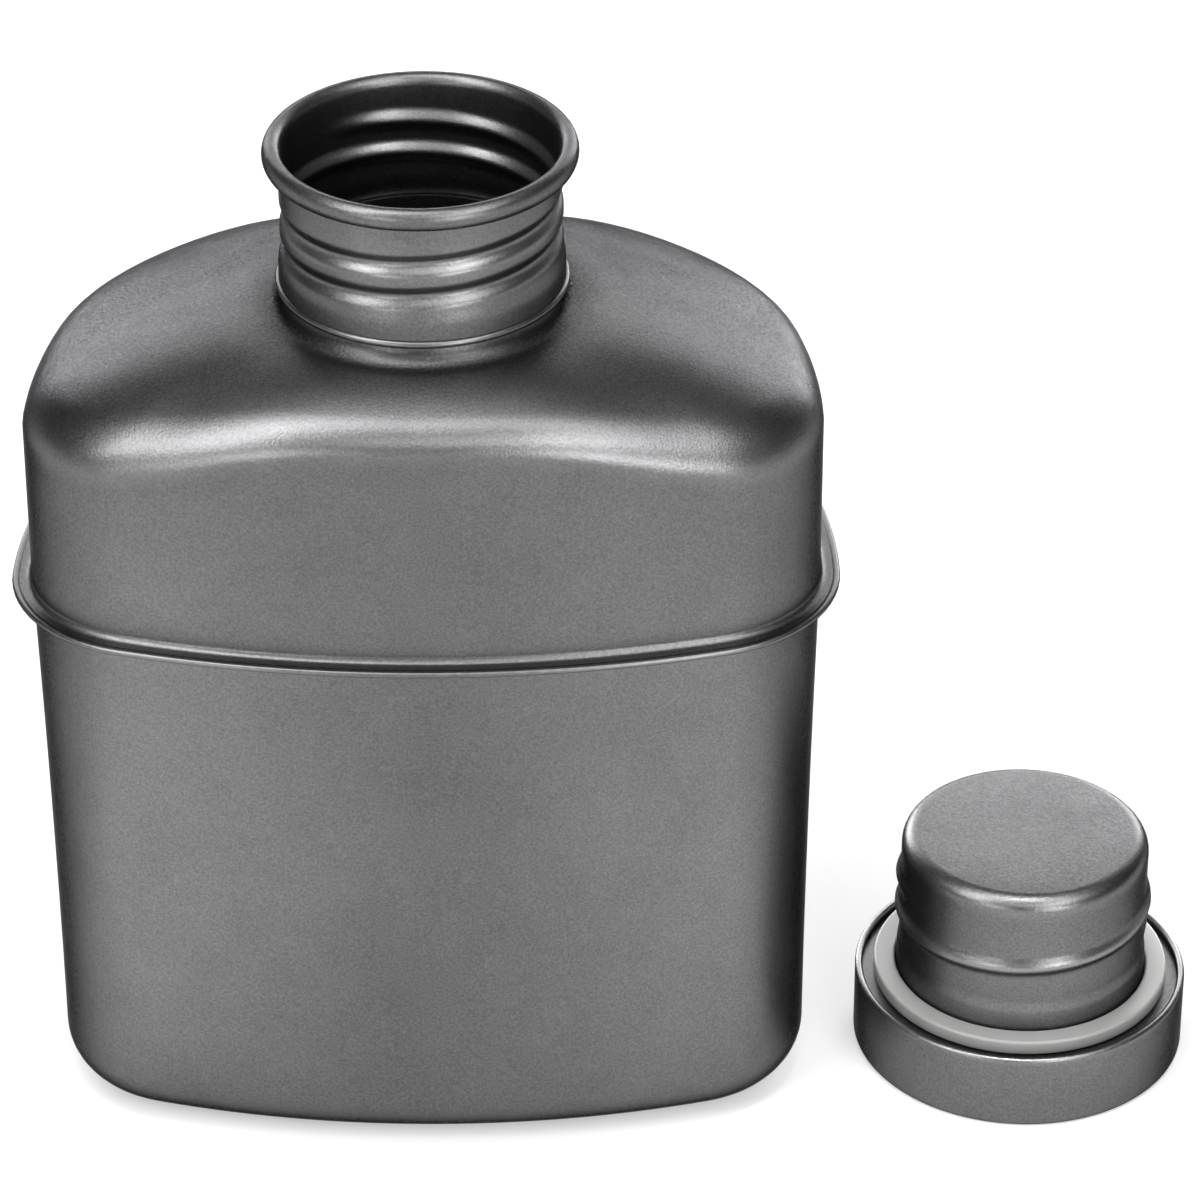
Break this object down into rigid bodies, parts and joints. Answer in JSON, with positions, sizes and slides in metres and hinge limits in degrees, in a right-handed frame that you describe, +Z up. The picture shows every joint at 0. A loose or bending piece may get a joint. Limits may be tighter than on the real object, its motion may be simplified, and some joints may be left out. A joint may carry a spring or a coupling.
{
  "type": "titanium water bottle",
  "caption": "Flat kidney-shaped titanium canteen with a wide threaded neck, its screw cap standing upside down beside it.",
  "frame": {"origin": "on the neck's axis at the flat base that the bottle stands on", "axes": "+Z up along the neck, +X along the bottle's width towards the cap, -Y towards the convex front"},
  "size_m": [0.2035, 0.087, 0.1775],
  "materials": {
    "titanium": "fine bead-blasted satin titanium",
    "weld_metal": "smooth bright weld bead",
    "silicone": "matt translucent grey silicone"
  },
  "bodies": {
    "bottle": {"lower_shell": "titanium", "upper_shell": "titanium", "edge_weld": "weld_metal", "threaded_neck": "titanium", "neck_weld": "weld_metal"},
    "sealing_ring": {"cap_gasket": "silicone"},
    "cap": {"cap_cover": "titanium", "cap_plug": "titanium"}
  },
  "joints": [
    {"name": "cap_lift", "type": "slide", "parent": "bottle", "child": "sealing_ring", "axis": [0, 0, 1], "range_m": [0, 0.2]},
    {"name": "cap_turn", "type": "hinge", "parent": "sealing_ring", "child": "cap", "pos_m": [0.1042, -0.0027, 0], "axis": [0, 0, 1], "continuous": true}
  ]
}
